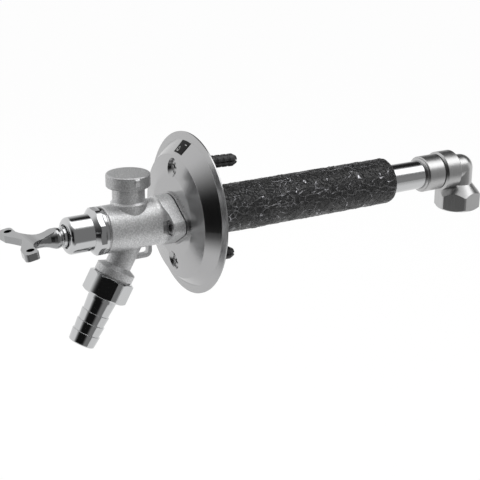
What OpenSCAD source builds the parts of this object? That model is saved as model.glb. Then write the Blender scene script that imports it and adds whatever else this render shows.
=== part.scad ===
// Frost free outdoor wall tap with a lift-off key, a vent on top, a hose union
// below and the shut-off valve at the warm end of the pipe.
// Axes: X to the right, Y into the wall, Z up. The origin is where the axis of
// the pipe meets the outside face of the wall. The pipe falls to the outside.
// Stations called _at are distances along the pipe from the wall face, and are
// negative outside. Stations called _s run down the spout from the pipe axis.

/* [Wall and pipe] */
// Fall of the pipe towards the outside, in degrees
fall = 1.9; // [0:0.1:4]
// Outside diameter of the pipe
pipe_d = 22; // [20:0.5:23]
// Wall of the pipe
pipe_wall = 1.5; // [1:0.1:2]
// Distance from the wall face to the valve housing
wall_depth = 202.2; // [152.2:1:402.2]
// Outside diameter of the insulation
insulation_d = 34.4; // [30:0.2:44]
// Length of insulation behind the wall face
insulation_len = 170.5; // [100:0.5:190]
// Rounding of the insulation's end
insulation_round = 2.6; // [1:0.1:4]

/* [Wall rose] */
// Diameter of the rose
rose_d = 114; // [108:1:130]
// Thickness of the rose's thin outer rim
rose_edge = 1; // [0.8:0.1:2]
// Diameter where the flat rim turns into the bevel
bevel_d = 103; // [98:1:105]
// Height of the rose's front pad above the wall, on the pipe axis
rose_h = 12.8; // [12:0.1:14]
// Diameter of the flat pad in the middle of the rose
pad_d = 58; // [54:1:60]
// Slope of the bevel, in degrees from the wall
bevel_angle = 49; // [46:1:54]
// Slope of the crown round the pad, in degrees
crown_angle = 9.5; // [6:0.5:10]
// Thickness of the rose's front wall
rose_wall = 2.6; // [2:0.1:3.5]
// Height of the rose's centre above the pipe axis
rose_rise = 1.8; // [0:0.1:3]
// Distance of each wall screw from the rose's centre
wall_screw_r = 34.5; // [33:0.5:35]
// Shank diameter of the wall screws
wall_screw_d = 5; // [4:0.5:5.5]
// Head diameter of the wall screws
wall_head_d = 9.4; // [9:0.2:10]
// Mouth diameter of the countersinks
sink_d = 13.4; // [12.4:0.2:14]
// Length of the wall screws under the wall face
wall_screw_len = 34; // [20:1:45]
// Outside diameter of the wall plugs
plug_d = 9; // [7.5:0.5:10]
// Length of the wall plugs
plug_len = 36; // [30:1:50]

/* [Body flange] */
// Distance of each flange screw from the pipe axis
flange_screw_x = 19; // [19:0.5:23]
// Radius of the flange's ends
flange_end_r = 7; // [6.8:0.1:9]
// Radius of the flange's middle
flange_mid_r = 17.5; // [17:0.1:19]
// Thickness of the flange
flange_t = 8.6; // [8.4:0.1:12]
// Thickness of the polished plate behind the flange
plate_t = 1.7; // [1.5:0.1:4]
// How far the plate stands out beyond the flange
plate_lip = 1; // [0.3:0.1:1.2]
// Thickness of the gasket between flange and plate
gasket_t = 0.5; // [0.4:0.1:1.5]
// Thread diameter of the flange screws
flange_screw_d = 6; // [5:0.5:6]
// Head diameter of the flange screws
socket_head_d = 10; // [9:0.1:10.2]
// Counterbore diameter for the flange screws
counterbore_d = 10.6; // [10.4:0.1:11.4]

/* [Body] */
// Diameter of the body's barrel
barrel_d = 32.6; // [32.2:0.2:33.6]
// Length of the barrel in front of the flange
barrel_len = 41.4; // [40.9:0.5:50.4]
// Wall of the barrel
barrel_wall = 3.3; // [2.9:0.1:3.9]
// Distance of the vent tower from the wall face
vent_out = 45; // [43:0.5:48]
// Diameter of the vent tower's neck
tower_d = 22.3; // [22.1:0.2:23.1]
// Diameter of the collar at the foot of the tower
collar_d = 25; // [24.6:0.2:26]
// Height of the tower's neck above the pipe axis
tower_h = 33; // [32:0.5:36]
// Diameter of the vent cap
cap_d = 30.2; // [29.8:0.2:32]
// Height of the vent cap's top above the pipe axis
cap_top = 37.1; // [36.5:0.1:41]
// Height of the vent cap
cap_h = 9; // [8.5:0.1:11]
// Width of the grip rib on each side of the vent cap
cap_rib_w = 3.2; // [2:0.1:4]

/* [Spout] */
// Where the spout's axis meets the pipe axis, outside the wall face
spout_out = 38.8; // [37:0.1:40]
// Angle of the spout below the level, in degrees
spout_drop = 60; // [55:1:65]
// Diameter of the spout's neck
neck_d = 18.1; // [17.6:0.1:19]
// Diameter of the spout's collar
spout_collar_d = 27.4; // [27:0.1:28]
// Distance of the collar from the pipe axis
spout_collar_s = 34; // [33:0.5:38]
// Thread diameter of the spout's nose
nose_d = 26.4; // [26:0.1:26.8]
// Diameter of the union nut over its round corners
nut_d = 32.4; // [32:0.2:34]
// Width of the union nut across its flats
nut_flats = 30.2; // [29.4:0.1:30.8]
// Length of the union nut
nut_len = 15; // [14:0.5:17]
// Diameter of the hose tail over its ridges
tail_d = 20.2; // [19:0.1:21]
// Bore of the hose tail
tail_bore_d = 14.4; // [12:0.2:15]
// Pitch of the hose tail's ridges
ridge_pitch = 7.5; // [6:0.1:9]
// Number of ridges on the hose tail
ridges = 3; // [2:1:5]

/* [Headwork and key] */
// Diameter of the headwork's nose
headwork_d = 25.2; // [24:0.2:26]
// Length of the headwork's nose
headwork_len = 17.1; // [16:0.1:22]
// Diameter of the headwork's shoulder
shoulder_d = 32.8; // [32:0.2:34]
// Length of the headwork's shoulder
shoulder_len = 8.9; // [8:0.1:11]
// Width across the shoulder's eight flats
shoulder_flats = 31.4; // [30.6:0.1:31.8]
// Thickness of the seal under the shoulder
head_seal_t = 1.1; // [0.8:0.1:1.6]
// Diameter of the spindle's collar
spindle_d = 14.4; // [13:0.1:15]
// How far the spindle's collar stands out of the headwork
spindle_out = 2.7; // [2:0.1:4]
// Width of the spindle's square end
square_w = 6; // [5.4:0.1:6.2]
// Length of the spindle's square end
square_len = 8; // [7:0.5:8.5]
// Diameter of the drive rod in the pipe
rod_d = 8; // [6:0.5:9]
// Distance between the centres of the key's two bosses
key_span = 42.6; // [38:0.2:50]
// Distance from the key's socket end to the line of its bosses
key_reach = 27.8; // [26:0.2:32]
// Width of the fork's arms at their ends
key_arm_w = 9.6; // [9:0.1:10.4]
// Hole in each boss of the key
key_hole_d = 5.2; // [3.5:0.1:5.6]
// Thickness of the key's fork
key_t = 5; // [4.4:0.1:5.6]
// How far the top of the fork dips behind its bosses
key_dip = 1.8; // [1:0.1:2]
// Diameter of the key's mouth, round its socket
key_mouth_d = 14.2; // [13.8:0.2:15]
// Pitch of the key's fork, in degrees
key_pitch = 9; // [7:0.5:11]

/* [Valve and elbow] */
// Diameter of the valve housing
housing_d = 28; // [27.6:0.2:30]
// Length of the valve housing outside its sleeve
housing_len = 17.4; // [16:0.1:22]
// Diameter of the sleeve over the housing
sleeve_d = 30.8; // [30:0.2:33]
// Length of the sleeve
sleeve_len = 15; // [14.5:0.1:20]
// Gap between the housing's shoulder and the sleeve
sleeve_gap = 0.7; // [0.4:0.1:1.2]
// Travel of the valve piston
piston_travel = 6; // [3:0.5:6]
// Outside diameter of the elbow
elbow_d = 21.4; // [21:0.2:23]
// Bore of the elbow
elbow_bore_d = 15; // [13:0.5:16]
// Distance of the elbow's outlet from the end of the sleeve
elbow_out = 8.7; // [8.5:0.1:12]
// Width across the flats of the elbow's hexagon
elbow_flats = 32; // [31:0.5:34]
// Turn of the elbow's hexagon about its axis, in degrees
hex_turn = 41; // [30:1:60]
// Depth of the elbow's foot below the pipe axis
elbow_drop = 32.8; // [32.4:0.1:38]
// Thread diameter of the elbow's inlet
inlet_d = 26.4; // [26:0.1:26.8]

/* [Fits] */
// Clearance of a turning or sliding fit, on the radius
running = 0.05; // [0.03:0.01:0.08]
// Clearance between two curved faces on different bodies
free_gap = 0.3; // [0.3:0.05:0.5]
// Clearance between parts that touch but don't move
seat_gap = 0.02; // [0.01:0.01:0.05]

/* [Hidden] */
$fn = 96;
steel = "silver";
polished = "gainsboro";
cast = "darkgray";
rubber = "#202224";
plastic = "#e8e6e0";
eps = 0.01;

pipe_r = pipe_d / 2;
pipe_bore_r = pipe_r - pipe_wall;
insulation_r = insulation_d / 2;
insulation_start = 1.5;

rose_r = rose_d / 2;
rose_at = -rose_h;
bevel_r = bevel_d / 2;
bevel_rise = tan(bevel_angle);
rose_hole_r = pipe_r + 1;
rose_boss_r = flange_screw_d / 2 + 3;
rose_back = 1.2;
rim_seal_w = 5;
pad_r = pad_d / 2;
crown = tan(crown_angle);
rose_inner_r = bevel_r - rose_wall / sin(bevel_angle);
rim_seal_h = 1.6;
head_cone_h = 2.4;
sink_cone_h = 2;
sink_floor = 2.6;
cross_w = 1.3;
cross_len = 5.6;
cross_depth = 2;
plug_ribs = 7;
plug_rib_depth = 0.55;
plug_slit = 1;
plug_start = 0.6;
plug_tip = 2;

gasket_at = rose_at - plate_t - gasket_t;
flange_front_at = gasket_at - flange_t;
plate_hole_r = pipe_r + 0.6;
screw_hole_r = flange_screw_d / 2 + 0.35;
socket_head_h = 6;
socket_af = 5;
socket_depth = 3.2;
screw_end_at = -2;
barrel_r = barrel_d / 2;
barrel_front_at = flange_front_at - barrel_len;
barrel_chamfer = 0.6;
barrel_fillet = 4.5;
counterbore_lead = 3.6;
barrel_bore_r = barrel_r - barrel_wall;
pipe_socket_depth = 11.5;
pipe_front_at = gasket_at - pipe_socket_depth + 0.5;
pipe_seal_w = 2.4;
pipe_seal_t = 1.5;
pipe_seal_at = gasket_at - 7;
waterway_r = pipe_bore_r + 0.1;
thread_len = 13;
head_thread_r = barrel_bore_r - 0.05;

tower_r = tower_d / 2;
tower_bore_r = 7.6;
tower_seat_r = 9.4;
tower_pocket_z = 19;
collar_z = 16.9;
collar_cone = 1.4;
cap_r = cap_d / 2;
cap_wall = 1.8;
cap_round = 1.2;
cap_roof = 2.7;
cap_skirt_z = cap_top - cap_h;
cap_ring_wall = 1.4;
cap_ring_z = tower_h - 3;
cap_slots = 4;
cap_slot_w = 4;
cap_rib_h = 0.9;
cap_rib_top = 0.8;
cap_rib_foot = 2.6;
cage_t = 2;
cage_hole_r = 6.4;
cage_bar = 2;
vent_seat_t = 3.4;
vent_seat_hole_r = 5;
float_r = 7.2;
float_t = 3;
float_seal_t = 1.2;
float_stem_r = 1.8;
float_z = tower_pocket_z + cage_t + seat_gap;
float_travel = tower_h - vent_seat_t - float_z - float_t - float_seal_t - 2 * seat_gap;

neck_r = neck_d / 2;
spout_collar_r = spout_collar_d / 2;
spout_collar_len = 5.2;
spout_cone = 2.5;
spout_bore_r = 6.5;
nose_r = nose_d / 2;
nose_core_r = nose_r - 0.8;
nose_s = spout_collar_s + spout_collar_len;
nose_len = 9.4;
nose_end_s = nose_s + nose_len;
pocket_r = 9.8;
pocket_s = spout_collar_s - 1.5;
check_seat_t = 3;
check_hole_r = 5.4;
poppet_r = 7;
poppet_t = 1.8;
poppet_seal_t = 1;
poppet_stem_r = 1.5;
poppet_s = pocket_s + check_seat_t + seat_gap;
poppet_travel = 3.5;
check_cage_t = 2.4;
check_cage_s = nose_end_s - 0.4 - check_cage_t;
check_spokes = 3;
spring_wire = 0.7;
spring_r = 2.4;
spring_turns = 4;
nut_s = nose_s + 0.9;
nut_r = nut_d / 2;
nut_chamfer = 1.5;
nut_chamfer_h = 1.1;
nut_end_s = nut_s + nut_len;
nut_lip = 2.4;
washer_t = 1.6;
washer_s = nose_end_s + 0.05;
tail_s = washer_s + washer_t + 0.02;
tail_flange_t = nut_end_s - nut_lip - running - tail_s;
tail_flange_r = nose_r - 0.3;
tail_r = tail_d / 2;
tail_root = 0.75;
tail_neck_r = tail_r + 0.1;
first_ridge_s = nut_end_s + 12.4;
tail_end_s = first_ridge_s + ridges * ridge_pitch + 0.8;
tail_travel = 12;

eye_t = 5;
eye_arm = 2.5;
eye_rear_out = 29.8;
eye_bottom = 24.4;
eye_round = 4.6;
eye_front_out = 44;

head_seal_r = shoulder_d / 2 - 0.6;
shoulder_back_at = barrel_front_at - head_seal_t;
shoulder_r = shoulder_d / 2;
shoulder_front_at = shoulder_back_at - shoulder_len;
shoulder_cone_h = 3;
shoulder_rim = 2.4;
headwork_r = headwork_d / 2;
headwork_front_at = shoulder_front_at - headwork_len;
headwork_round = 3;
headwork_mouth_r = spindle_d / 2 + 1.1;
headwork_mouth_depth = 3;
headwork_end_at = barrel_front_at + thread_len;
spindle_r = spindle_d / 2;
spindle_front_at = headwork_front_at - spindle_out;
thrust_r = spindle_r + 2;
thrust_t = 3;
thrust_at = shoulder_front_at - 0.6;
gland_r = thrust_r + free_gap;
bush_t = 6;
bush_at = thrust_at + thrust_t + seat_gap;
bush_bore_r = 6;
oring_w = 2;
oring_t = 1.6;
oring_gap = 4.5;
oring_at = headwork_front_at + headwork_mouth_depth + 2;
spindle_end_at = headwork_end_at + 4;
groove_r = 5.8;
groove_len = 1;
key_back_at = spindle_front_at - groove_len - 0.1;
square_front_at = key_back_at - square_len;
rod_r = rod_d / 2;
rod_socket = 12;
rod_pin_r = 1.5;
rod_front_at = spindle_end_at - rod_socket;
key_socket_gap = 0.15;
key_half = key_span / 2;
key_fork_z = 2.75;
key_tip_y = key_reach - 2.4;
key_tip_r = key_arm_w * 0.44;
key_crotch = 1.9;
key_end_x = key_half + 6.4;
key_end_front = -key_arm_w * 0.59;
key_end_back = key_end_front + key_arm_w;
key_end_round = 2.8;
key_waist_r = 16;
key_mouth_r = key_mouth_d / 2;
shank_len = key_reach * 0.8;

housing_r = housing_d / 2;
housing_lip_r = housing_r - 1.2;
housing_lip_len = 1.6;
housing_chamfer = 0.6;
housing_socket = 10;
housing_at = wall_depth;
housing_shoulder_at = housing_at + housing_len;
sleeve_at = housing_shoulder_at + sleeve_gap;
sleeve_r = sleeve_d / 2;
sleeve_chamfer = 1.4;
sleeve_end_at = sleeve_at + sleeve_len;
spigot_r = housing_r - 1.6;
spigot_end_at = sleeve_at + 6;
piston_bore_r = pipe_r - 1.6;
seat_t = 3;
seat_at = spigot_end_at + seat_gap;
seat_hole_r = 5.5;
seat_lip_h = 0.8;
seat_lip_w = 1;
seat_washer_t = 2;
seat_washer_r = 7.2;
piston_r = 6.8;
piston_len = 18;
piston_back_at = seat_at - seat_lip_h - seat_washer_t - 2 * seat_gap;
piston_front_at = piston_back_at - piston_len;
fins = 3;
fin_w = 2.6;
fin_r = piston_bore_r + 1.3;
fin_len = 4.5;
piston_web = 3.2;
rod_end_at = piston_back_at - piston_web - piston_travel - 0.5;
washer_screw_r = 1.5;
washer_head_r = 3.2;
washer_head_t = 1.4;
elbow_r = elbow_d / 2;
elbow_bore_r = elbow_bore_d / 2;
elbow_at = sleeve_end_at + elbow_out;
elbow_front_at = seat_at + seat_t + seat_gap;
hex_r = elbow_flats / 2 / cos(30);
hex_ease = 0.4;
hex_round_r = hex_r - hex_ease;
hex_top = -19.4;
cone_top = -12;
inlet_r = inlet_d / 2;
inlet_depth = 14;
hex_chamfer = 1.8;
guide_ats = [wall_depth * 0.2, wall_depth * 0.72];
guide_t = 6;
guide_hub_wall = 1.4;
guide_arms = 3;
guide_arm_w = 2;

// Places a piece on the sloping pipe frame: Y along the pipe, into the wall
module on_pipe() {
    rotate([fall, 0, 0])
        children();
}

// Turns local Z into the direction of the pipe, into the wall
module along_pipe() {
    on_pipe()
        rotate([-90, 0, 0])
            children();
}

// Turns local Z into the spout's axis, downwards
module along_spout() {
    on_pipe()
        translate([0, -spout_out, 0])
            rotate([90 + spout_drop, 0, 0])
                children();
}

// Stands local Z on the vent's axis, upwards
module on_vent() {
    on_pipe()
        translate([0, -vent_out, 0])
            children();
}

// Turns local Z into the wall, square to the wall face
module into_wall() {
    rotate([-90, 0, 0])
        children();
}

// A solid of revolution from points of radius and station
module turned(points) {
    rotate_extrude()
        polygon(points);
}

// A plain ring between two radii
module ring(inner_r, outer_r, from, to) {
    turned([[inner_r, from], [outer_r, from], [outer_r, to], [inner_r, to]]);
}

// A straight round hole or rod between two stations
module rod(r, from, to) {
    translate([0, 0, from])
        cylinder(r = r, h = to - from);
}

// Points of an arc, as radius and station pairs
function arc(centre, r, from, to, steps = 8) =
    [for (i = [0:steps]) let (a = from + (to - from) * i / steps)
        [centre[0] + r * cos(a), centre[1] + r * sin(a)]];

// Half angle of the flange's sloping edges
function edge_angle(mid_r, end_r, x) = asin((mid_r - end_r) / x);

// Rhombic plate: a middle disc and two end discs joined along their tangents
module rhombus(h, grow = 0) {
    mid_r = flange_mid_r + grow;
    end_r = flange_end_r + grow;
    a = 90 - edge_angle(mid_r, end_r, flange_screw_x);
    inset = 0.03;
    mid = [(mid_r - inset) * cos(a), (mid_r - inset) * sin(a)];
    end = [flange_screw_x + (end_r - inset) * cos(a), (end_r - inset) * sin(a)];
    cylinder(r = mid_r, h = h);
    linear_extrude(h)
        polygon([mid, end, [end[0], -end[1]], [mid[0], -mid[1]],
            [-mid[0], -mid[1]], [-end[0], -end[1]], [-end[0], end[1]], [-mid[0], mid[1]]]);
    for (x = [-flange_screw_x, flange_screw_x])
        translate([x, 0, 0])
            cylinder(r = end_r, h = h);
}

// Repeats a piece at both flange screws, in the turned frame
module at_flange_screws() {
    for (x = [-flange_screw_x, flange_screw_x])
        translate([x, 0, 0])
            children();
}

// Repeats a piece at both wall screws, in the wall's turned frame
module at_wall_screws() {
    for ($dz = [-wall_screw_r, wall_screw_r])
        translate([0, -rose_rise - $dz, 0])
            children();
}

module barrel_outside() {
    turned([[0, barrel_front_at], [barrel_r - barrel_chamfer, barrel_front_at],
        [barrel_r, barrel_front_at + barrel_chamfer], [barrel_r, flange_front_at + 1],
        [0, flange_front_at + 1]]);
    intersection() {
        turned(concat([[0, flange_front_at - barrel_fillet]],
            arc([barrel_r + barrel_fillet, flange_front_at - barrel_fillet], barrel_fillet, 180, 90),
            [[barrel_r + barrel_fillet, flange_front_at + 1], [0, flange_front_at + 1]]));
        translate([0, 0, flange_front_at - barrel_fillet - 1])
            rhombus(barrel_fillet + 2);
    }
}

module tower_outside() {
    turned([[0, 0], [collar_d / 2, 0], [collar_d / 2, collar_z],
        [tower_r, collar_z + collar_cone], [tower_r, tower_h], [0, tower_h]]);
}

module spout_outside() {
    turned([[0, 6], [neck_r, 6], [neck_r, spout_collar_s - spout_cone],
        [spout_collar_r, spout_collar_s], [spout_collar_r, nose_s], [nose_core_r, nose_s],
        [nose_core_r, nose_end_s - 0.6], [nose_core_r - 0.6, nose_end_s], [0, nose_end_s]]);
}

// The loop between barrel and spout that the key's chain hangs from: a square
// bar with one round bend, drawn in the plane of distance outside and height
module chain_eye() {
    bend = [-eye_rear_out - eye_round, eye_round - eye_bottom];
    outer = arc(bend, eye_round, 0, -90);
    inner = arc(bend, eye_round - eye_arm, -90, 0);
    top = -barrel_r + barrel_wall * 0.7;
    rotate([90, 0, 90])
        linear_extrude(eye_t, center = true)
            polygon(concat([[-eye_rear_out, top]], outer, [[-eye_front_out, -eye_bottom],
                [-eye_front_out, eye_arm - eye_bottom]], inner, [[-eye_rear_out - eye_arm, top]]));
}

module tap_body() {
    color(cast)
        difference() {
            union() {
                along_pipe() {
                    barrel_outside();
                    translate([0, 0, flange_front_at])
                        rhombus(flange_t);
                }
                on_vent()
                    tower_outside();
                along_spout()
                    spout_outside();
                on_pipe()
                    chain_eye();
            }
            along_pipe() {
                rod(barrel_bore_r, barrel_front_at - 1, barrel_front_at + thread_len + 1);
                rod(waterway_r, barrel_front_at, gasket_at + 1);
                rod(pipe_r + seat_gap, pipe_front_at - 0.5, gasket_at + 1);
                rod(pipe_r + pipe_seal_t, pipe_seal_at, pipe_seal_at + pipe_seal_w);
                at_flange_screws() {
                    rod(counterbore_d / 2, flange_front_at - counterbore_lead, flange_front_at + socket_head_h);
                    rod(screw_hole_r, flange_front_at, gasket_at + 1);
                }
            }
            on_vent() {
                rod(tower_bore_r, 0, tower_h + 1);
                rod(tower_seat_r, tower_pocket_z, tower_h + 1);
            }
            along_spout() {
                rod(spout_bore_r, 0, nose_end_s + 1);
                rod(pocket_r, pocket_s, nose_end_s + 1);
            }
        }
}

module flange_gasket() {
    color(rubber)
        along_pipe()
            difference() {
                translate([0, 0, gasket_at + seat_gap])
                    rhombus(gasket_t - 2 * seat_gap);
                rod(plate_hole_r, gasket_at - 1, rose_at);
                at_flange_screws()
                    rod(screw_hole_r, gasket_at - 1, rose_at);
            }
}

module flange_plate() {
    color(polished)
        along_pipe()
            difference() {
                translate([0, 0, gasket_at + gasket_t])
                    rhombus(plate_t, plate_lip);
                rod(plate_hole_r, gasket_at - 1, rose_at + 1);
                at_flange_screws()
                    rod(screw_hole_r, gasket_at - 1, rose_at + 1);
            }
}

module flange_screws() {
    head_at = flange_front_at + socket_head_h;
    color(steel)
        along_pipe()
            at_flange_screws()
                difference() {
                    turned([[0, flange_front_at], [socket_head_d / 2 - 0.5, flange_front_at],
                        [socket_head_d / 2, flange_front_at + 0.5],
                        [socket_head_d / 2, head_at - seat_gap],
                        [flange_screw_d / 2, head_at - seat_gap],
                        [flange_screw_d / 2, screw_end_at], [0, screw_end_at]]);
                    translate([0, 0, flange_front_at - 1])
                        cylinder(r = socket_af / 2 / cos(30), h = socket_depth + 1, $fn = 6);
                }
}

// Dish of the rose about the wall's normal, down to a wall thickness
module rose_dish(rim_r, edge, top_r) {
    translate([0, -rose_rise, 0])
        turned([[0, 0.5], [rim_r, 0.5], [rim_r, -edge], [top_r, -edge - 0.6],
            [top_r - 30 / bevel_rise, -edge - 30.6], [0, -edge - 30.6]]);
}

// Crowned front of the rose, square to the pipe
module rose_crown(depth) {
    translate([0, -rose_rise, 0])
        turned([[0, rose_at + depth], [pad_r, rose_at + depth],
            [rose_r + 10, rose_at + depth + crown * (rose_r + 10 - pad_r)],
            [rose_r + 10, 30], [0, 30]]);
}

// Station of the rose's face at a wall screw, along the wall's normal
function face_at(dz) = (rose_at + max(0, abs(dz) - pad_r) * crown
    - (rose_rise + dz) * sin(fall)) / cos(fall);

module rose_outside() {
    intersection() {
        into_wall()
            rose_dish(rose_r, rose_edge, bevel_r);
        along_pipe()
            rose_crown(0);
        into_wall()
            rod(rose_r + 20, -rose_r, 0);
    }
}

module rose_hollow() {
    intersection() {
        into_wall()
            rose_dish(rose_inner_r, rose_edge, rose_inner_r - 0.4);
        along_pipe()
            rose_crown(rose_wall);
    }
}

module wall_rose() {
    color(steel)
        difference() {
            union() {
                difference() {
                    rose_outside();
                    rose_hollow();
                }
                along_pipe()
                    at_flange_screws()
                        rod(rose_boss_r, rose_at + rose_wall / 2, -rose_back);
                into_wall()
                    at_wall_screws()
                        rod(sink_d / 2 + 0.4, face_at($dz) + rose_wall - 0.5, -rose_back);
            }
            along_pipe() {
                rod(rose_hole_r, rose_at - 1, 5);
                at_flange_screws()
                    rod(flange_screw_d / 2 + seat_gap, rose_at - 1, 5);
            }
            into_wall()
                at_wall_screws()
                    wall_screw_hole(face_at($dz));
        }
}

// Countersink, head pocket and clearance hole for a wall screw
module wall_screw_hole(face) {
    hole_r = wall_screw_d / 2 + 0.3;
    head_r = wall_head_d / 2 + 0.3;
    floor_at = face + sink_floor;
    out = 1.2;
    slope = (sink_d / 2 - head_r) / sink_cone_h;
    turned([[0, face - out], [sink_d / 2 + slope * out, face - out],
        [head_r, face + sink_cone_h], [head_r, floor_at], [hole_r, floor_at + head_cone_h],
        [hole_r, 5], [0, 5]]);
}

module rose_seal() {
    outer_r = rose_inner_r - 0.1;
    inner_r = outer_r - rim_seal_w;
    top = -rose_edge - rim_seal_h;
    color(rubber)
        into_wall()
            translate([0, -rose_rise, 0])
                difference() {
                    turned([[inner_r, top], [outer_r - rim_seal_h / bevel_rise - 0.4, top],
                        [outer_r - 0.4, -rose_edge], [outer_r - 0.4, 0], [inner_r, 0]]);
                    ring(inner_r + 1.4, inner_r + 3, -0.9, 1);
                }
}

module wall_screws() {
    r = wall_head_d / 2;
    color(steel)
        into_wall()
            at_wall_screws()
                wall_screw(face_at($dz) + sink_floor, r);
}

module wall_screw(head_at, r) {
    difference() {
        turned([[0, head_at - 0.75], [r - 1.5, head_at - 0.6], [r - 0.3, head_at - 0.2],
            [r, head_at + 0.1], [wall_screw_d / 2, head_at + head_cone_h],
            [wall_screw_d / 2, wall_screw_len - 6], [0.4, wall_screw_len], [0, wall_screw_len]]);
        for (turn = [0, 90])
            rotate([0, 0, turn + 20])
                translate([-cross_len / 2, -cross_w / 2, head_at - 1.2])
                    cube([cross_len, cross_w, cross_depth]);
    }
}

module wall_plugs() {
    pitch = (plug_len - plug_tip) / plug_ribs;
    r = plug_d / 2;
    low = r - plug_rib_depth;
    ribs = [for (i = [0:plug_ribs - 1]) each [[low, plug_start + pitch * i],
        [r, plug_start + pitch * (i + 0.25)], [r, plug_start + pitch * (i + 0.8)],
        [low, plug_start + pitch * (i + 0.95)]]];
    color(rubber)
        into_wall()
            at_wall_screws()
                difference() {
                    turned(concat([[0, plug_start]], ribs, [[low, plug_start + plug_len - plug_tip],
                        [low - 1, plug_start + plug_len], [0, plug_start + plug_len]]));
                    rod(wall_screw_d / 2 + seat_gap, 0, wall_screw_len + 1);
                    translate([-r - 1, -plug_slit / 2, plug_len * 0.45])
                        cube([2 * r + 2, plug_slit, plug_len]);
                }
}

module pipe() {
    color(polished)
        along_pipe()
            ring(pipe_bore_r, pipe_r, pipe_front_at, housing_at + housing_socket - 0.3);
}

module pipe_seal() {
    color(rubber)
        along_pipe()
            ring(pipe_r + seat_gap, pipe_r + pipe_seal_t - seat_gap,
                pipe_seal_at + seat_gap, pipe_seal_at + pipe_seal_w - seat_gap);
}

module insulation_sleeve() {
    inner_r = pipe_r + seat_gap;
    color(rubber)
        along_pipe()
            turned(concat([[inner_r, insulation_start], [insulation_r, insulation_start]],
                arc([insulation_r - insulation_round, insulation_len - insulation_round],
                    insulation_round, 0, 90),
                [[inner_r, insulation_len]]));
}

module rod_guides() {
    hub_r = rod_r + running;
    color(plastic)
        along_pipe()
            for (at = guide_ats)
                translate([0, 0, at])
                    difference() {
                        union() {
                            cylinder(r = hub_r + guide_hub_wall, h = guide_t);
                            intersection() {
                                cylinder(r = pipe_bore_r - seat_gap, h = guide_t);
                                for (i = [0:guide_arms - 1])
                                    rotate([0, 0, i * 360 / guide_arms])
                                        translate([0, -guide_arm_w / 2, 0])
                                            cube([pipe_r, guide_arm_w, guide_t]);
                            }
                        }
                        rod(hub_r, -1, guide_t + 1);
                    }
}

module headwork() {
    nose_front = headwork_front_at + headwork_round;
    color(polished)
        along_pipe()
            difference() {
                union() {
                    turned(concat([[0, headwork_front_at]],
                        arc([headwork_r - headwork_round, nose_front], headwork_round, -90, 0),
                        [[headwork_r, shoulder_front_at], [0, shoulder_front_at]]));
                    difference() {
                        turned([[0, shoulder_front_at - eps], [headwork_r + 0.3, shoulder_front_at],
                            [shoulder_r, shoulder_front_at + shoulder_cone_h],
                            [shoulder_r, shoulder_back_at - 0.4],
                            [shoulder_r - 0.4, shoulder_back_at], [0, shoulder_back_at]]);
                        shoulder_flat_cut();
                    }
                    rod(head_thread_r, shoulder_back_at - 1, headwork_end_at);
                }
                rod(spindle_r + running, headwork_front_at - 1, headwork_end_at + 1);
                rod(headwork_mouth_r, headwork_front_at - 1, headwork_front_at + headwork_mouth_depth);
                rod(gland_r, thrust_at - free_gap, headwork_end_at + 1);
            }
}

// Takes eight narrow flats off the shoulder, up to its rear rim
module shoulder_flat_cut() {
    flat_end = shoulder_back_at - shoulder_rim;
    difference() {
        rod(shoulder_r + 2, shoulder_front_at - 1, flat_end);
        translate([0, 0, shoulder_front_at - 2])
            rotate([0, 0, 22.5])
                cylinder(r = shoulder_flats / 2 / cos(22.5), h = shoulder_len + 4, $fn = 8);
    }
}

module headwork_seal() {
    color(rubber)
        along_pipe()
            ring(barrel_bore_r, head_seal_r, shoulder_back_at + seat_gap,
                barrel_front_at - seat_gap);
}

module gland_bush() {
    color("goldenrod")
        along_pipe()
            ring(bush_bore_r + running, gland_r - seat_gap, bush_at, bush_at + bush_t);
}

module vent_cap() {
    inner_r = cap_r - cap_wall;
    roof_z = cap_top - cap_roof;
    ring_r = tower_r + seat_gap;
    color(cast)
        on_vent() {
            turned(concat([[0, roof_z], [inner_r, roof_z], [inner_r, cap_skirt_z],
                [cap_r - 0.6, cap_skirt_z], [cap_r, cap_skirt_z + 0.6]],
                arc([cap_r - cap_round, cap_top - cap_round], cap_round, 0, 90, 5),
                [[0, cap_top]]));
            for (turn = [0, 180])
                rotate([0, 0, turn])
                    cap_rib();
            difference() {
                ring(ring_r, ring_r + cap_ring_wall, cap_ring_z, roof_z + 0.5);
                for (i = [0:cap_slots - 1])
                    rotate([0, 0, 45 + i * 360 / cap_slots])
                        translate([0, -cap_slot_w / 2, cap_ring_z - 1])
                            cube([cap_r, cap_slot_w, roof_z - cap_ring_z + 1]);
            }
            for (i = [0:cap_slots - 1])
                rotate([0, 0, i * 360 / cap_slots])
                    translate([tower_r - 2, -1.5, tower_h + seat_gap])
                        cube([3.2, 3, roof_z - tower_h]);
        }
}

// A small upright rib on the cap's skirt: its top slopes, its foot runs out
module cap_rib() {
    top = cap_top - cap_rib_top;
    foot = cap_skirt_z + cap_rib_foot;
    rotate([90, 0, 0])
        linear_extrude(cap_rib_w, center = true)
            polygon([[cap_r - 1, foot - 0.4], [cap_r - 0.1, foot], [cap_r + cap_rib_h, top - 2.2],
                [cap_r + cap_rib_h, top - cap_rib_h], [cap_r - 0.1, top], [cap_r - 1, top]]);
}

module vent_cage() {
    color(plastic)
        on_vent() {
            ring(cage_hole_r, tower_seat_r - seat_gap, tower_pocket_z + seat_gap,
                tower_pocket_z + cage_t);
            for (turn = [0, 90])
                rotate([0, 0, turn])
                    translate([-cage_hole_r - 0.5, -cage_bar / 2, tower_pocket_z + seat_gap])
                        cube([2 * cage_hole_r + 1, cage_bar, cage_t - seat_gap]);
        }
}

module vent_seat() {
    color(plastic)
        on_vent()
            ring(vent_seat_hole_r, tower_seat_r - seat_gap, tower_h - vent_seat_t, tower_h);
}

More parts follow.
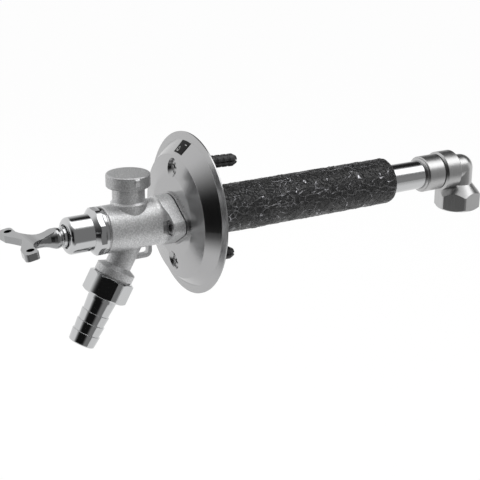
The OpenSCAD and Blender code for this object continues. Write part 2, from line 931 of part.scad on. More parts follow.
module vent_float() {
    color("#d8d8d2")
        on_vent()
            turned([[0, float_z], [float_r, float_z], [float_r, float_z + float_t],
                [float_stem_r, float_z + float_t],
                [float_stem_r, float_z + float_t + float_seal_t + 2],
                [0, float_z + float_t + float_seal_t + 3]]);
}

module float_seal() {
    color(rubber)
        on_vent()
            ring(float_stem_r + seat_gap, float_r - 0.3, float_z + float_t + seat_gap,
                float_z + float_t + float_seal_t);
}

module check_seat() {
    color(plastic)
        along_spout()
            ring(check_hole_r, pocket_r - seat_gap, pocket_s + seat_gap, pocket_s + check_seat_t);
}

module check_cage() {
    color(plastic)
        along_spout() {
            ring(pocket_r - 1.6, pocket_r - seat_gap, check_cage_s, check_cage_s + check_cage_t);
            ring(poppet_stem_r + running, poppet_stem_r + 1.6, check_cage_s,
                check_cage_s + check_cage_t);
            for (i = [0:check_spokes - 1])
                rotate([0, 0, i * 360 / check_spokes])
                    translate([poppet_stem_r + 1.2, -0.9, check_cage_s])
                        cube([pocket_r - 2.4 - poppet_stem_r, 1.8, check_cage_t]);
        }
}

module check_poppet() {
    disc_s = poppet_s + poppet_seal_t;
    color("#2f6f9f")
        along_spout()
            turned([[0, poppet_s], [poppet_stem_r, poppet_s], [poppet_stem_r, disc_s],
                [poppet_r, disc_s], [poppet_r, disc_s + poppet_t - 0.4],
                [poppet_r - 0.6, disc_s + poppet_t], [poppet_stem_r, disc_s + poppet_t],
                [poppet_stem_r, check_cage_s + check_cage_t], [0, check_cage_s + check_cage_t]]);
}

module poppet_seal() {
    color(rubber)
        along_spout()
            ring(poppet_stem_r + seat_gap, poppet_r - 0.2, poppet_s,
                poppet_s + poppet_seal_t - seat_gap);
}

// Coil spring round local Z: round wire swept along a helix, with closed ends
module coil(coil_r, wire_r, from, to, turns) {
    steps = 16 * turns;
    sides = 8;
    points = [for (i = [0:steps]) let (a = 360 * turns * i / steps, z = from + (to - from) * i / steps)
        for (j = [0:sides - 1]) let (b = 360 * j / sides, r = coil_r + wire_r * cos(b))
            [r * cos(a), r * sin(a), z + wire_r * sin(b)]];
    sheath = [for (i = [0:steps - 1], j = [0:sides - 1]) let (k = (j + 1) % sides)
        [i * sides + j, i * sides + k, (i + 1) * sides + k, (i + 1) * sides + j]];
    front = [for (j = [0:sides - 1]) sides - 1 - j];
    back = [for (j = [0:sides - 1]) steps * sides + j];
    polyhedron(points, concat([front], sheath, [back]), convexity = 8);
}

module check_spring() {
    from = poppet_s + poppet_seal_t + poppet_t + spring_wire / 2 + 0.05;
    to = check_cage_s - spring_wire / 2 - 0.05;
    color("lightgray")
        along_spout()
            coil(spring_r, spring_wire / 2, from, to, spring_turns);
}

module spindle() {
    neck_at = bush_at + bush_t + 0.5;
    color(polished)
        along_pipe()
            difference() {
                union() {
                    turned([[0, spindle_front_at - groove_len], [groove_r, spindle_front_at - groove_len],
                        [groove_r, spindle_front_at], [spindle_r - 0.4, spindle_front_at],
                        [spindle_r, spindle_front_at + 0.4], [spindle_r, oring_at],
                        [spindle_r - oring_t, oring_at], [spindle_r - oring_t, oring_at + oring_w],
                        [spindle_r, oring_at + oring_w], [spindle_r, oring_at + oring_gap],
                        [spindle_r - oring_t, oring_at + oring_gap],
                        [spindle_r - oring_t, oring_at + oring_gap + oring_w],
                        [spindle_r, oring_at + oring_gap + oring_w], [spindle_r, thrust_at],
                        [thrust_r, thrust_at], [thrust_r, thrust_at + thrust_t],
                        [bush_bore_r, thrust_at + thrust_t], [bush_bore_r, neck_at],
                        [rod_r + 1.8, neck_at], [rod_r + 1.8, spindle_end_at],
                        [0, spindle_end_at]]);
                    translate([-square_w / 2, -square_w / 2, square_front_at])
                        cube([square_w, square_w, square_len + 1]);
                }
                rod(rod_r + seat_gap, rod_front_at, spindle_end_at + 1);
                cross_pin_hole(seat_gap);
            }
}

// Room for the pin that ties the drive rod to the spindle
module cross_pin_hole(gap) {
    translate([0, 0, spindle_end_at - 3])
        rotate([0, 90, 0])
            cylinder(r = rod_pin_r + gap, h = 2 * rod_r + 12, center = true);
}

module rod_pin() {
    color(steel)
        along_pipe()
            translate([0, 0, spindle_end_at - 3])
                rotate([0, 90, 0])
                    cylinder(r = rod_pin_r, h = 2 * rod_r + 3.4, center = true);
}

module spindle_orings() {
    color(rubber)
        along_pipe()
            for (at = [oring_at, oring_at + oring_gap])
                ring(spindle_r - oring_t + seat_gap, spindle_r - seat_gap, at + 0.1,
                    at + oring_w - 0.1);
}

module drive_rod() {
    color(steel)
        along_pipe()
            difference() {
                rod(rod_r, rod_front_at + seat_gap, rod_end_at);
                cross_pin_hole(seat_gap);
            }
}

// How far the fork's top lies below its plane, y behind the line of the bosses
function fork_dip(y) = key_dip * (1 - cos(360 * max(0, min(1, (y - 2) / (key_tip_y - 1))))) / 2;

// Thickness of the fork: full at the arms, thin at the tip, where the shank takes over
function fork_thickness(y) = key_t * (0.64 + 0.36 * cos(180 * max(0, min(1, (y - 4) / 12))));

// One half of the fork's plan, from the crotch round the arm's end to the tip
function fork_half() = concat(
    [[0, key_crotch], [key_half * 0.14, key_crotch * 0.5], [key_half * 0.46, -key_crotch],
        [key_half * 0.73, key_end_front * 0.82]],
    arc([key_end_x - key_end_round, key_end_front + key_end_round], key_end_round, -90, 0),
    arc([key_end_x - key_end_round, key_end_back - key_end_round], key_end_round, 0, 90),
    arc([key_waist_r + key_tip_r, key_end_back + key_waist_r - 0.3], key_waist_r, 259, 184),
    arc([0, key_tip_y - key_tip_r], key_tip_r, 4, 90));

// Plan of the key's fork: y runs back from the line of the bosses to the tip
module fork_plan() {
    half = fork_half();
    last = len(half) - 1;
    polygon(concat(half, [for (i = [last - 1:-1:1]) [-half[i][0], half[i][1]]]));
}

// Spreads a side view, drawn as y and height, over the width of the fork
module across_fork() {
    rotate([90, 0, 90])
        linear_extrude(2 * key_end_x + 2, center = true)
            children();
}

// Side view of the fork between its dipping top and its underside
module fork_side() {
    steps = 20;
    ys = [for (i = [0:steps]) -key_arm_w + (key_tip_y + key_arm_w + 1) * i / steps];
    polygon(concat([for (y = ys) [y, -fork_dip(y)]],
        [for (i = [steps:-1:0]) [ys[i], -fork_dip(ys[i]) - fork_thickness(ys[i])]]));
}

// Side view of all that lies above the fork's top
module over_fork() {
    steps = 20;
    ys = [for (i = [0:steps]) -key_arm_w + (key_tip_y + key_arm_w) * i / steps];
    polygon(concat([for (y = ys) [y, -fork_dip(y)]],
        [[key_tip_y, key_reach], [-key_arm_w, key_reach]]));
}

// Waisted shank behind the fork, wide at its mouth, by shares of length and radius
module key_shank() {
    shape = [[0, 0.86], [0.025, 0.95], [0.09, 1], [0.15, 0.99], [0.24, 0.89], [0.34, 0.765],
        [0.44, 0.69], [0.54, 0.655], [0.66, 0.66], [0.78, 0.69], [0.9, 0.6], [0.975, 0.38]];
    turned(concat([[0, key_back_at]],
        [for (p = shape) [key_mouth_r * p[1], key_back_at - shank_len * p[0]]],
        [[0, key_back_at - shank_len]]));
}

// Places the fork: its bosses' line, its height and its pitch
module on_fork() {
    on_pipe()
        translate([0, key_back_at - key_reach, key_fork_z])
            rotate([key_pitch, 0, 0])
                children();
}

module key() {
    socket_w = square_w + 2 * key_socket_gap;
    color(polished)
        difference() {
            union() {
                on_fork()
                    intersection() {
                        translate([0, 0, -2 * key_t])
                            linear_extrude(3 * key_t)
                                fork_plan();
                        across_fork()
                            fork_side();
                    }
                difference() {
                    along_pipe()
                        key_shank();
                    on_fork()
                        across_fork()
                            over_fork();
                }
            }
            along_pipe()
                translate([-socket_w / 2, -socket_w / 2, square_front_at - 0.5])
                    cube([socket_w, socket_w, square_len + 2]);
            on_fork()
                for (side = [-1, 1])
                    translate([side * key_half, 0, -key_t - 1])
                        cylinder(d = key_hole_d, h = key_t + 2);
        }
}

module valve_housing() {
    color(steel)
        along_pipe()
            difference() {
                turned([[0, housing_at], [housing_lip_r - 0.9, housing_at],
                    [housing_lip_r, housing_at + 0.9], [housing_lip_r, housing_at + housing_lip_len],
                    [housing_r - housing_chamfer, housing_at + housing_lip_len],
                    [housing_r, housing_at + housing_lip_len + housing_chamfer],
                    [housing_r, housing_shoulder_at - housing_chamfer],
                    [housing_r - housing_chamfer, housing_shoulder_at],
                    [spigot_r, housing_shoulder_at], [spigot_r, spigot_end_at],
                    [0, spigot_end_at]]);
                rod(pipe_r + seat_gap, housing_at - 1, housing_at + housing_socket);
                rod(piston_bore_r, housing_at, spigot_end_at + 1);
                for (i = [0:fins - 1])
                    rotate([0, 0, i * 360 / fins])
                        translate([0, -fin_w / 2 - 0.12, housing_at + housing_socket - eps])
                            cube([fin_r + 0.25, fin_w + 0.24, spigot_end_at - housing_at]);
            }
}

module housing_seal() {
    color(rubber)
        along_pipe()
            ring(spigot_r + seat_gap, sleeve_r - 1.7, housing_shoulder_at + seat_gap,
                sleeve_at - seat_gap);
}

module housing_sleeve() {
    color(steel)
        along_pipe()
            difference() {
                turned([[0, sleeve_at], [sleeve_r - sleeve_chamfer, sleeve_at],
                    [sleeve_r, sleeve_at + sleeve_chamfer],
                    [sleeve_r, sleeve_end_at - sleeve_chamfer],
                    [sleeve_r - sleeve_chamfer, sleeve_end_at], [0, sleeve_end_at]]);
                rod(spigot_r + seat_gap, sleeve_at - 1, seat_at + seat_t);
                rod(elbow_r + seat_gap, sleeve_at, sleeve_end_at + 1);
            }
}

module valve_seat() {
    color("goldenrod")
        along_pipe() {
            ring(seat_hole_r, spigot_r, seat_at, seat_at + seat_t);
            ring(seat_hole_r, seat_hole_r + seat_lip_w, seat_at - seat_lip_h, seat_at + 0.1);
        }
}

module valve_piston() {
    color("goldenrod")
        along_pipe()
            difference() {
                union() {
                    rod(piston_r, piston_front_at, piston_back_at);
                    for (i = [0:fins - 1])
                        rotate([0, 0, i * 360 / fins])
                            translate([0, -fin_w / 2, piston_back_at - fin_len - 0.3])
                                cube([fin_r, fin_w, fin_len]);
                }
                rod(rod_r + running, piston_front_at - 1, piston_back_at - piston_web);
                rod(washer_screw_r + seat_gap, piston_back_at - 3, piston_back_at + 1);
            }
}

module seat_washer() {
    color(rubber)
        along_pipe()
            ring(washer_screw_r + seat_gap, seat_washer_r, piston_back_at + seat_gap,
                piston_back_at + seat_washer_t);
}

module washer_screw() {
    head_at = piston_back_at + seat_washer_t + seat_gap;
    color(steel)
        along_pipe() {
            rod(washer_screw_r, piston_back_at - 2.8, head_at + 0.1);
            rod(washer_head_r, head_at, head_at + washer_head_t);
        }
}

module elbow_outside() {
    along_pipe() {
        rod(elbow_r, elbow_front_at, elbow_at);
        translate([0, 0, elbow_at])
            sphere(r = elbow_r);
    }
    difference() {
        elbow_leg();
        along_pipe()
            rod(sleeve_r + free_gap, sleeve_at, sleeve_end_at + seat_gap);
    }
}

// Leg of the elbow with its cone and hexagon, notched for the sleeve's end
module elbow_leg() {
    on_pipe()
        translate([0, elbow_at, 0]) {
            rod(elbow_r, cone_top - 1, 0);
            intersection() {
                turned([[0, cone_top], [elbow_r, cone_top], [hex_round_r, hex_top - 1.4],
                    [hex_round_r, -elbow_drop + hex_chamfer],
                    [hex_round_r - hex_chamfer * 1.5, -elbow_drop], [0, -elbow_drop]]);
                union() {
                    rod(elbow_r + 4, hex_top, cone_top);
                    rotate([0, 0, hex_turn])
                        translate([0, 0, -elbow_drop])
                            cylinder(r = hex_r, h = elbow_drop, $fn = 6);
                }
            }
        }
}

module inlet_elbow() {
    color(steel)
        difference() {
            elbow_outside();
            along_pipe() {
                rod(elbow_bore_r, elbow_front_at - 1, elbow_at);
                translate([0, 0, elbow_at])
                    sphere(r = elbow_bore_r);
            }
            on_pipe()
                translate([0, elbow_at, 0]) {
                    rod(elbow_bore_r, -elbow_drop - 1, 0);
                    rod(inlet_r, -elbow_drop - 1, -elbow_drop + inlet_depth);
                }
        }
}

module union_nut() {
    color(polished)
        along_spout()
            difference() {
                intersection() {
                    turned([[0, nut_s], [nut_r - nut_chamfer, nut_s], [nut_r, nut_s + nut_chamfer_h],
                        [nut_r, nut_end_s - nut_chamfer_h], [nut_r - nut_chamfer, nut_end_s],
                        [0, nut_end_s]]);
                    translate([0, 0, nut_s])
                        cylinder(r = nut_flats / 2 / cos(30), h = nut_len, $fn = 6);
                }
                rod(nose_r + running, nut_s - 1, nut_end_s - nut_lip);
                rod(tail_neck_r + free_gap, nut_s, nut_end_s + 1);
            }
}

module hose_tail() {
    ridge_points = [for (i = [0:ridges - 1])
        each [[tail_r - tail_root, first_ridge_s + i * ridge_pitch - 0.02],
            [tail_r, first_ridge_s + i * ridge_pitch]]];
    color(polished)
        along_spout()
            difference() {
                turned(concat([[0, tail_s], [tail_flange_r, tail_s],
                    [tail_flange_r, tail_s + tail_flange_t], [tail_neck_r, tail_s + tail_flange_t],
                    [tail_neck_r, nut_end_s + 2.8]], ridge_points,
                    [[tail_r - tail_root, tail_end_s - 0.5], [tail_r - tail_root - 0.5, tail_end_s],
                    [0, tail_end_s]]));
                rod(tail_bore_d / 2, tail_s - 1, tail_end_s + 1);
            }
}

module hose_washer() {
    color(rubber)
        along_spout()
            ring(tail_bore_d / 2 + 0.4, tail_flange_r, washer_s, washer_s + washer_t);
}

tap_body();
headwork();
headwork_seal();
gland_bush();
vent_cap();
vent_cage();
vent_seat();
vent_float();
float_seal();
flange_gasket();
flange_plate();
flange_screws();
wall_rose();
rose_seal();
wall_screws();
wall_plugs();
pipe();
pipe_seal();
insulation_sleeve();
rod_guides();
valve_housing();
housing_sleeve();
housing_seal();
valve_seat();
inlet_elbow();
check_seat();
check_cage();
check_poppet();
poppet_seal();
check_spring();
spindle();
spindle_orings();
drive_rod();
rod_pin();
key();
valve_piston();
seat_washer();
washer_screw();
union_nut();
hose_tail();
hose_washer();
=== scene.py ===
"""Finish of a frost free outdoor wall tap, laid over its solid model.

The solid model gives every piece its shape and place. This script gives each
piece the finish of the real one, adds the wrinkled insulation film, the screw
threads and the small plate on the rose, and sets up a studio and a camera.
All lengths are in metres. X is to the right, Y goes into the wall and Z is up.
"""
import math

import bmesh
import bpy
import numpy as np
from bpy.props import (FloatProperty, FloatVectorProperty, IntProperty,
                       PointerProperty)
from mathutils import Matrix, Vector


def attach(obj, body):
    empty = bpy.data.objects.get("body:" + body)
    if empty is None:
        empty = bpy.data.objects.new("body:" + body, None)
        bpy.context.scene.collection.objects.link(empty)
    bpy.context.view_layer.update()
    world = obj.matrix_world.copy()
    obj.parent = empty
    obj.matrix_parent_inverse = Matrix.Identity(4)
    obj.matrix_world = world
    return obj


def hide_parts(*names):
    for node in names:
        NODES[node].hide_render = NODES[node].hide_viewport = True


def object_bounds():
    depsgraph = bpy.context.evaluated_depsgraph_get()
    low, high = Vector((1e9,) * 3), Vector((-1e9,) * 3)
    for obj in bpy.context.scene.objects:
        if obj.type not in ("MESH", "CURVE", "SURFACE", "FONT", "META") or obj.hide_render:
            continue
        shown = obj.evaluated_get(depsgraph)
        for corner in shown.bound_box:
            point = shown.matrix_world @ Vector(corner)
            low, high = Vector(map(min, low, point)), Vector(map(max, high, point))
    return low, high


bl_info = {
    "name": "Frost Free Wall Tap",
    "version": (1, 0, 0),
    "blender": (4, 5, 0),
    "location": "View3D > Sidebar > Wall Tap",
    "description": "Finishes a frost free outdoor wall tap",
    "category": "Object",
}

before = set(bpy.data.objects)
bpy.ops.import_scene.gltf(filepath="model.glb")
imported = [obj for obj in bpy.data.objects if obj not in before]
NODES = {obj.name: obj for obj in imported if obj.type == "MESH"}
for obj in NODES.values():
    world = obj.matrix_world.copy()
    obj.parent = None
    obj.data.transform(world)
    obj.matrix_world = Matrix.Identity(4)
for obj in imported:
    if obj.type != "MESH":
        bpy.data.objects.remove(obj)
CAD_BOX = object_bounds()

MM = 0.001

# The pipe's fall to the outside, how far before the wall the spout's axis meets the
# pipe's, the spout's angle below the pipe, and the inlet's foot in the pipe's frame
FALL = math.radians(1.9)
COS_FALL = math.cos(FALL)
SIN_FALL = math.sin(FALL)
PIPE_AXIS = (0.0, COS_FALL, SIN_FALL)
SPOUT_OUT = 38.8 * MM
SPOUT_DROP = math.radians(60.0)
INLET_IN, INLET_FOOT = 244.0 * MM, -32.8 * MM

# Sizes taken from the solid model, in metres: the pitch of the screw threads, the
# middle of the rose and the two holes in the key's bosses
PITCH = 1.814 * MM
ROSE_CENTRE = (0.0, 0.0, 1.8 * MM)
KEY_HOLE_AXIS = (0.0, -0.189095, 0.981959)
KEY_HOLES = ((-0.0213, -0.12325, -0.003808), (0.0213, -0.12325, -0.003808))
KEY_HOLE_R = 2.68 * MM

# Screw threads in millimetres: middle radius, depth, start and length along the axis
NOSE_THREAD = (12.38, 0.75, 41.807, 7.0)
NUT_THREAD = (13.26, 0.72, 40.9, 7.6)
INLET_THREAD = (13.22, 1.0, 1.2, 11.2)
STEPS_A_TURN = 64

# Section of a thread's ridge: rise as a share of its depth, place as a share of the
# pitch. The last two points lie a little behind its root.
RIDGE = ((0.0, -0.46), (0.82, -0.10), (1.0, -0.06), (1.0, 0.06),
         (0.82, 0.10), (0.0, 0.46), (-0.12, 0.46), (-0.12, -0.46))

# Sizes taken from the solid model, in millimetres: the insulation, and the rose
SLEEVE_R, BORE_R, SLEEVE_ROUND = 17.2, 11.02, 2.6
SLEEVE_START, SLEEVE_END = 1.5, 170.5
ROSE_RISE, BEVEL_R, RIM_FACE, BEVEL_TURN = 1.8, 52.02, 1.0, math.radians(49.0)

# The small plate on the bevel, in millimetres: its place round the rose, how far
# round it leans for each step down, its reach and its way down from the rim, then
# its half width and depth, and the places and sizes of the bar and the drop on it
LABEL_TURN, LABEL_LEAN, LABEL_R, LABEL_TOP = math.radians(89.6), 0.19, 51.0, 0.8
LABEL_HALF, LABEL_DEEP = 5.9, 10.6
BAR_ACROSS, BAR_DOWN = (1.2, 3.9), (2.6, 3.3)
DROP_PLACE, DROP_SIZE, DROP_INSIDE = (-2.6, 7.2), (2.1, 2.3), 0.62

# The film's grid, and its families of creases: cells round and along, lines
# across a cell, width, share of the depth and slant
FILM_ROWS, FILM_COLUMNS, FILM_END_ROWS = 386, 244, 6
CREASE_FAMILIES = (((10, 12), 1, 0.014, 0.8, 0.5), ((16, 20), 1, 0.022, 0.9, 0.9),
                   ((22, 30), 1, 0.030, 0.9, 0.6), ((30, 36), 1, 0.042, 0.9, 0.9),
                   ((9, 13), 5, 0.13, 0.5, 0.5), ((40, 52), 1, 0.055, 0.8, 0.4))

# Painted shade: the key and the vent cap are darker copies of chrome and casting, and the key's
# bores are near black
KEY_PAINTED_SHADE, CAP_PAINTED_SHADE, BORE_PAINTED_SHADE = 0.62, 0.82, (0.03, 0.03, 0.03)

# The floor's half width and its drop below the tap in metres, its glow and the share
# of the glow that the camera sees, and the room's light on matt surfaces
FLOOR_HALF, FLOOR_DROP, FLOOR_GLOW, GLOW_SHARE = 25.0, 0.30, 1.04, 0.9
ROOM_LEVEL = 0.55

# Cards: name, strength, reach in metres, turns in degrees, spread to the right in
# metres and the fades at the four edges, as shares of the turns and of the spread
CARDS = (("overhead_softbox", 2.5, 1.8, (64.0, 113.0), (-0.8, 3.4), (0.30, 0.12, 0.20, 0.20)),
         ("black_strip", 0.02, 1.9, (112.0, 192.0), (-0.55, 4.0), (0.10, 0.60, 0.10, 0.20)),
         ("dark_front", 0.01, 2.1, (-52.0, 98.0), (-5.6, 6.0), (0.22, 0.50, 0.32, 0.20)),
         ("grey_side", 0.27, 2.0, (-55.0, 70.0), (0.0, 7.0), (0.12, 0.10, 0.09, 0.20)),
         ("right_wall", 0.34, 1.95, (-118.0, 62.0), (2.2, 16.0), (0.15, 0.12, 0.22, 0.05)),
         ("tent_floor", 0.95, 2.3, (190.0, 350.0), (-9.0, 9.0), (0.08, 0.08, 0.05, 0.05)))
CARD_ROWS = 61

# Lamps: name, place, size in metres and share of the main lamp's power, and the
# point that all of them face
LAMPS = (("key_lamp", (0.5, -0.9, 1.7), 1.0, 1.0), ("fill_lamp", (1.2, 0.8, 0.6), 1.2, 1.1),
         ("left_lamp", (-1.4, -0.5, 0.5), 1.2, 0.9))
LAMP_AIM = (0.0, 0.05, 0.0)

# The camera: the photograph's width, the focal length and the pixel of the origin,
# all in pixels, with its angles and its distance in metres
PHOTO = 480.0
FOCAL_PIXELS = 1161.14
AZIMUTH = math.radians(59.886)
ELEVATION = math.radians(19.339)
DISTANCE = 0.811
WALL_PIXEL = (186.818, 215.143)


# Placing


def on_pipe(points):
    """Turns points of the level pipe frame about X, so that the pipe falls outwards."""
    p = np.asarray(points, float)
    return np.stack([p[..., 0], p[..., 1] * COS_FALL - p[..., 2] * SIN_FALL,
                     p[..., 1] * SIN_FALL + p[..., 2] * COS_FALL], axis=-1)


def along_pipe(points):
    """Takes local (x, y, z), z along the pipe into the wall and y down, to the world."""
    p = np.asarray(points, float)
    return on_pipe(np.stack([p[..., 0], p[..., 2], -p[..., 1]], axis=-1))


def along_spout(points):
    """Takes local (x, y, z), z down the spout's axis, to the world."""
    p = np.asarray(points, float)
    c, s = math.cos(math.pi / 2 + SPOUT_DROP), math.sin(math.pi / 2 + SPOUT_DROP)
    turned = np.stack([p[..., 0], p[..., 1] * c - p[..., 2] * s - SPOUT_OUT,
                       p[..., 1] * s + p[..., 2] * c], axis=-1)
    return on_pipe(turned)


def up_the_inlet(points):
    """Takes local (x, y, z), z up from the inlet's foot along its axis, to the world."""
    p = np.asarray(points, float)
    return on_pipe(np.stack([p[..., 0], p[..., 1] + INLET_IN,
                             p[..., 2] + INLET_FOOT], axis=-1))


# Meshes


def grid_faces(rows, columns, wrap_rows=False, wrap_columns=True):
    """Quads of a grid of points, in row order, closed round where it wraps."""
    i = np.arange(rows if wrap_rows else rows - 1)
    j = np.arange(columns if wrap_columns else columns - 1)
    i, j = np.meshgrid(i, j, indexing="ij")
    i1, j1 = (i + 1) % rows, (j + 1) % columns
    return np.stack([i * columns + j, i * columns + j1,
                     i1 * columns + j1, i1 * columns + j], axis=-1).reshape(-1, 4)


def add_mesh(name, points, faces, material, body, smooth=True):
    """Makes a mesh object at the origin from arrays of points and faces."""
    mesh = bpy.data.meshes.new(name)
    mesh.from_pydata(np.asarray(points, float).reshape(-1, 3).tolist(), [],
                     faces.tolist() if isinstance(faces, np.ndarray) else faces)
    mesh.validate()
    mesh.materials.append(material)
    mesh.shade_smooth() if smooth else mesh.shade_flat()
    piece = bpy.data.objects.new(name, mesh)
    bpy.context.scene.collection.objects.link(piece)
    if body:
        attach(piece, body)
    return piece


def face_outwards(piece):
    """Recalculates normals so that they point out of a closed piece."""
    work = bmesh.new()
    work.from_mesh(piece.data)
    bmesh.ops.remove_doubles(work, verts=work.verts, dist=1e-7)
    bmesh.ops.recalc_face_normals(work, faces=work.faces)
    work.to_mesh(piece.data)
    work.free()


def thread(name, place, sizes, material, body, inward):
    """A screw thread's ridge: a triangle with a flat crest, swept along a helix.

    The point at angle a of the helix lies at radius r and station start + pitch
    times a over a full turn. The ridge fades to nothing over its first and last
    third of a turn.
    """
    mid_r, depth, start, length = (MM * size for size in sizes)
    turns = length / PITCH
    steps = int(turns * STEPS_A_TURN) + 1
    a = np.linspace(0.0, turns * 2 * math.pi, steps)
    fade = np.clip(np.minimum(a, a[-1] - a) / 2.0, 0.02, 1.0)
    sign = -1.0 if inward else 1.0
    profile = np.array(RIDGE)
    rise = profile[:, 0][None, :] * depth * fade[:, None]
    r = mid_r + sign * rise
    z = (start + a[:, None] * PITCH / (2 * math.pi)
         + profile[:, 1][None, :] * PITCH * (0.3 + 0.7 * fade[:, None]))
    points = np.stack([r * np.cos(a)[:, None], r * np.sin(a)[:, None], z], axis=-1)
    n = len(profile)
    faces = grid_faces(steps, n).tolist()
    faces.append(list(range(n))[::-1])
    faces.append([(steps - 1) * n + k for k in range(n)])
    piece = add_mesh(name, place(points), faces, material, body)
    face_outwards(piece)
    piece.data.shade_smooth()
    return piece


# Materials


class Finish:
    """Builds one node material, step by step, on Object coordinates."""

    def __init__(self, name, base, metallic, roughness):
        self.material = bpy.data.materials.new(name)
        self.material.use_nodes = True
        self.tree = self.material.node_tree
        self.shader = self.tree.nodes["Principled BSDF"]
        self.shader.inputs["Base Color"].default_value = (*base, 1.0)
        self.shader.inputs["Metallic"].default_value = metallic
        self.shader.inputs["Roughness"].default_value = roughness
        self.place = self.tree.nodes.new("ShaderNodeTexCoord").outputs["Object"]
        self.normal = None

    def node(self, kind, **settings):
        """Adds a node and sets its properties by name."""
        item = self.tree.nodes.new(kind)
        for key, value in settings.items():
            setattr(item, key, value)
        return item

    def link(self, source, target):
        """Joins an output to an input."""
        self.tree.links.new(source, target)

    def noise(self, scale, detail=3.0, rough=0.5, stretch=(1, 1, 1)):
        """Noise of the given scale per metre, stretched along the axes."""
        mapping = self.node("ShaderNodeMapping")
        mapping.inputs["Scale"].default_value = stretch
        self.link(self.place, mapping.inputs["Vector"])
        noise = self.node("ShaderNodeTexNoise")
        noise.inputs["Scale"].default_value = scale
        noise.inputs["Detail"].default_value = detail
        noise.inputs["Roughness"].default_value = rough
        self.link(mapping.outputs["Vector"], noise.inputs["Vector"])
        return noise.outputs["Fac"]

    def cracks(self, scale, stretch, bend, breaks):
        """Distance to a net of cracks, bent by a noise and broken off by another."""
        mapping = self.node("ShaderNodeMapping")
        mapping.inputs["Scale"].default_value = stretch
        self.link(self.place, mapping.inputs["Vector"])
        wave = self.node("ShaderNodeTexNoise")
        wave.inputs["Scale"].default_value = scale * 0.7
        self.link(mapping.outputs["Vector"], wave.inputs["Vector"])
        bent = self.node("ShaderNodeVectorMath", operation="MULTIPLY_ADD")
        bent.inputs[1].default_value = (bend, bend, bend)
        self.link(wave.outputs["Color"], bent.inputs[0])
        self.link(mapping.outputs["Vector"], bent.inputs[2])
        net = self.node("ShaderNodeTexVoronoi", feature="DISTANCE_TO_EDGE")
        net.inputs["Scale"].default_value = scale
        self.link(bent.outputs["Vector"], net.inputs["Vector"])
        total = self.node("ShaderNodeMath", operation="ADD")
        self.link(net.outputs["Distance"], total.inputs[0])
        self.link(self.span(self.noise(scale * 0.6, 2.0), -breaks * 0.5, breaks),
                  total.inputs[1])
        return total.outputs[0]

    def reach(self, axis, centre, radial):
        """Distance from an axis, or along it where radial is off.

        The distance from the axis is the length of what is left of the point's
        offset once its share along the axis is taken off.
        """
        offset = self.node("ShaderNodeVectorMath", operation="SUBTRACT")
        self.link(self.place, offset.inputs[0])
        offset.inputs[1].default_value = centre
        dot = self.node("ShaderNodeVectorMath", operation="DOT_PRODUCT")
        self.link(offset.outputs["Vector"], dot.inputs[0])
        dot.inputs[1].default_value = axis
        reach = dot.outputs["Value"]
        if radial:
            share = self.node("ShaderNodeVectorMath", operation="SCALE")
            share.inputs[0].default_value = axis
            self.link(dot.outputs["Value"], share.inputs["Scale"])
            across = self.node("ShaderNodeVectorMath", operation="SUBTRACT")
            self.link(offset.outputs["Vector"], across.inputs[0])
            self.link(share.outputs["Vector"], across.inputs[1])
            length = self.node("ShaderNodeVectorMath", operation="LENGTH")
            self.link(across.outputs["Vector"], length.inputs[0])
            reach = length.outputs["Value"]
        return reach

    def spin(self, lines, axis, centre, radial=True):
        """Lines left by a lathe: noise of the distance from an axis or along it."""
        noise = self.node("ShaderNodeTexNoise", noise_dimensions="1D")
        noise.inputs["Scale"].default_value = lines
        noise.inputs["Detail"].default_value = 3.0
        self.link(self.reach(axis, centre, radial), noise.inputs["W"])
        return noise.outputs["Fac"]

    def in_bores(self, axis, centres, radius):
        """One inside any of some round bores with parallel axes, and nought outside."""
        total = self.node("ShaderNodeMath", operation="ADD", use_clamp=True)
        for centre, target in zip(centres, total.inputs):
            near = self.node("ShaderNodeMath", operation="LESS_THAN")
            self.link(self.reach(axis, centre, True), near.inputs[0])
            near.inputs[1].default_value = radius
            self.link(near.outputs[0], target)
        return total.outputs[0]

    def ramp(self, factor, stops):
        """Colour ramp from a list of positions and grey levels or colours."""
        ramp = self.node("ShaderNodeValToRGB")
        elements = ramp.color_ramp.elements
        while len(elements) < len(stops):
            elements.new(0.5)
        for element, (position, value) in zip(elements, stops):
            element.position = position
            element.color = (*value, 1.0) if len(np.shape(value)) else (value, value, value, 1.0)
        self.link(factor, ramp.inputs["Fac"])
        return ramp.outputs["Color"]

    def span(self, factor, low, high):
        """Maps a factor of nought to one onto a range."""
        spread = self.node("ShaderNodeMapRange")
        spread.inputs["To Min"].default_value = low
        spread.inputs["To Max"].default_value = high
        self.link(factor, spread.inputs["Value"])
        return spread.outputs["Result"]

    def bump(self, height, distance, strength=1.0):
        """Adds a layer of bump of the given depth in metres."""
        bump = self.node("ShaderNodeBump")
        bump.inputs["Strength"].default_value = strength
        bump.inputs["Distance"].default_value = distance
        self.link(height, bump.inputs["Height"])
        if self.normal is not None:
            self.link(self.normal, bump.inputs["Normal"])
        self.normal = bump.outputs["Normal"]
        return self

    def soft_edges(self, radius):
        """Rounds the shading of sharp edges, as a polished casting has them."""
        bevel = self.node("ShaderNodeBevel", samples=4)
        bevel.inputs["Radius"].default_value = radius
        self.normal = bevel.outputs["Normal"]
        return self

    def rough(self, factor, low, high):
        """Spreads the roughness between two levels."""
        self.link(self.span(factor, low, high), self.shader.inputs["Roughness"])
        return self

    def colour(self, output):
        """Takes the base colour from an output."""
        self.link(output, self.shader.inputs["Base Color"])
        return self

    def done(self):
        """Joins the bump to the shader and hands back the material."""
        if self.normal is not None:
            self.link(self.normal, self.shader.inputs["Normal"])
        return self.material


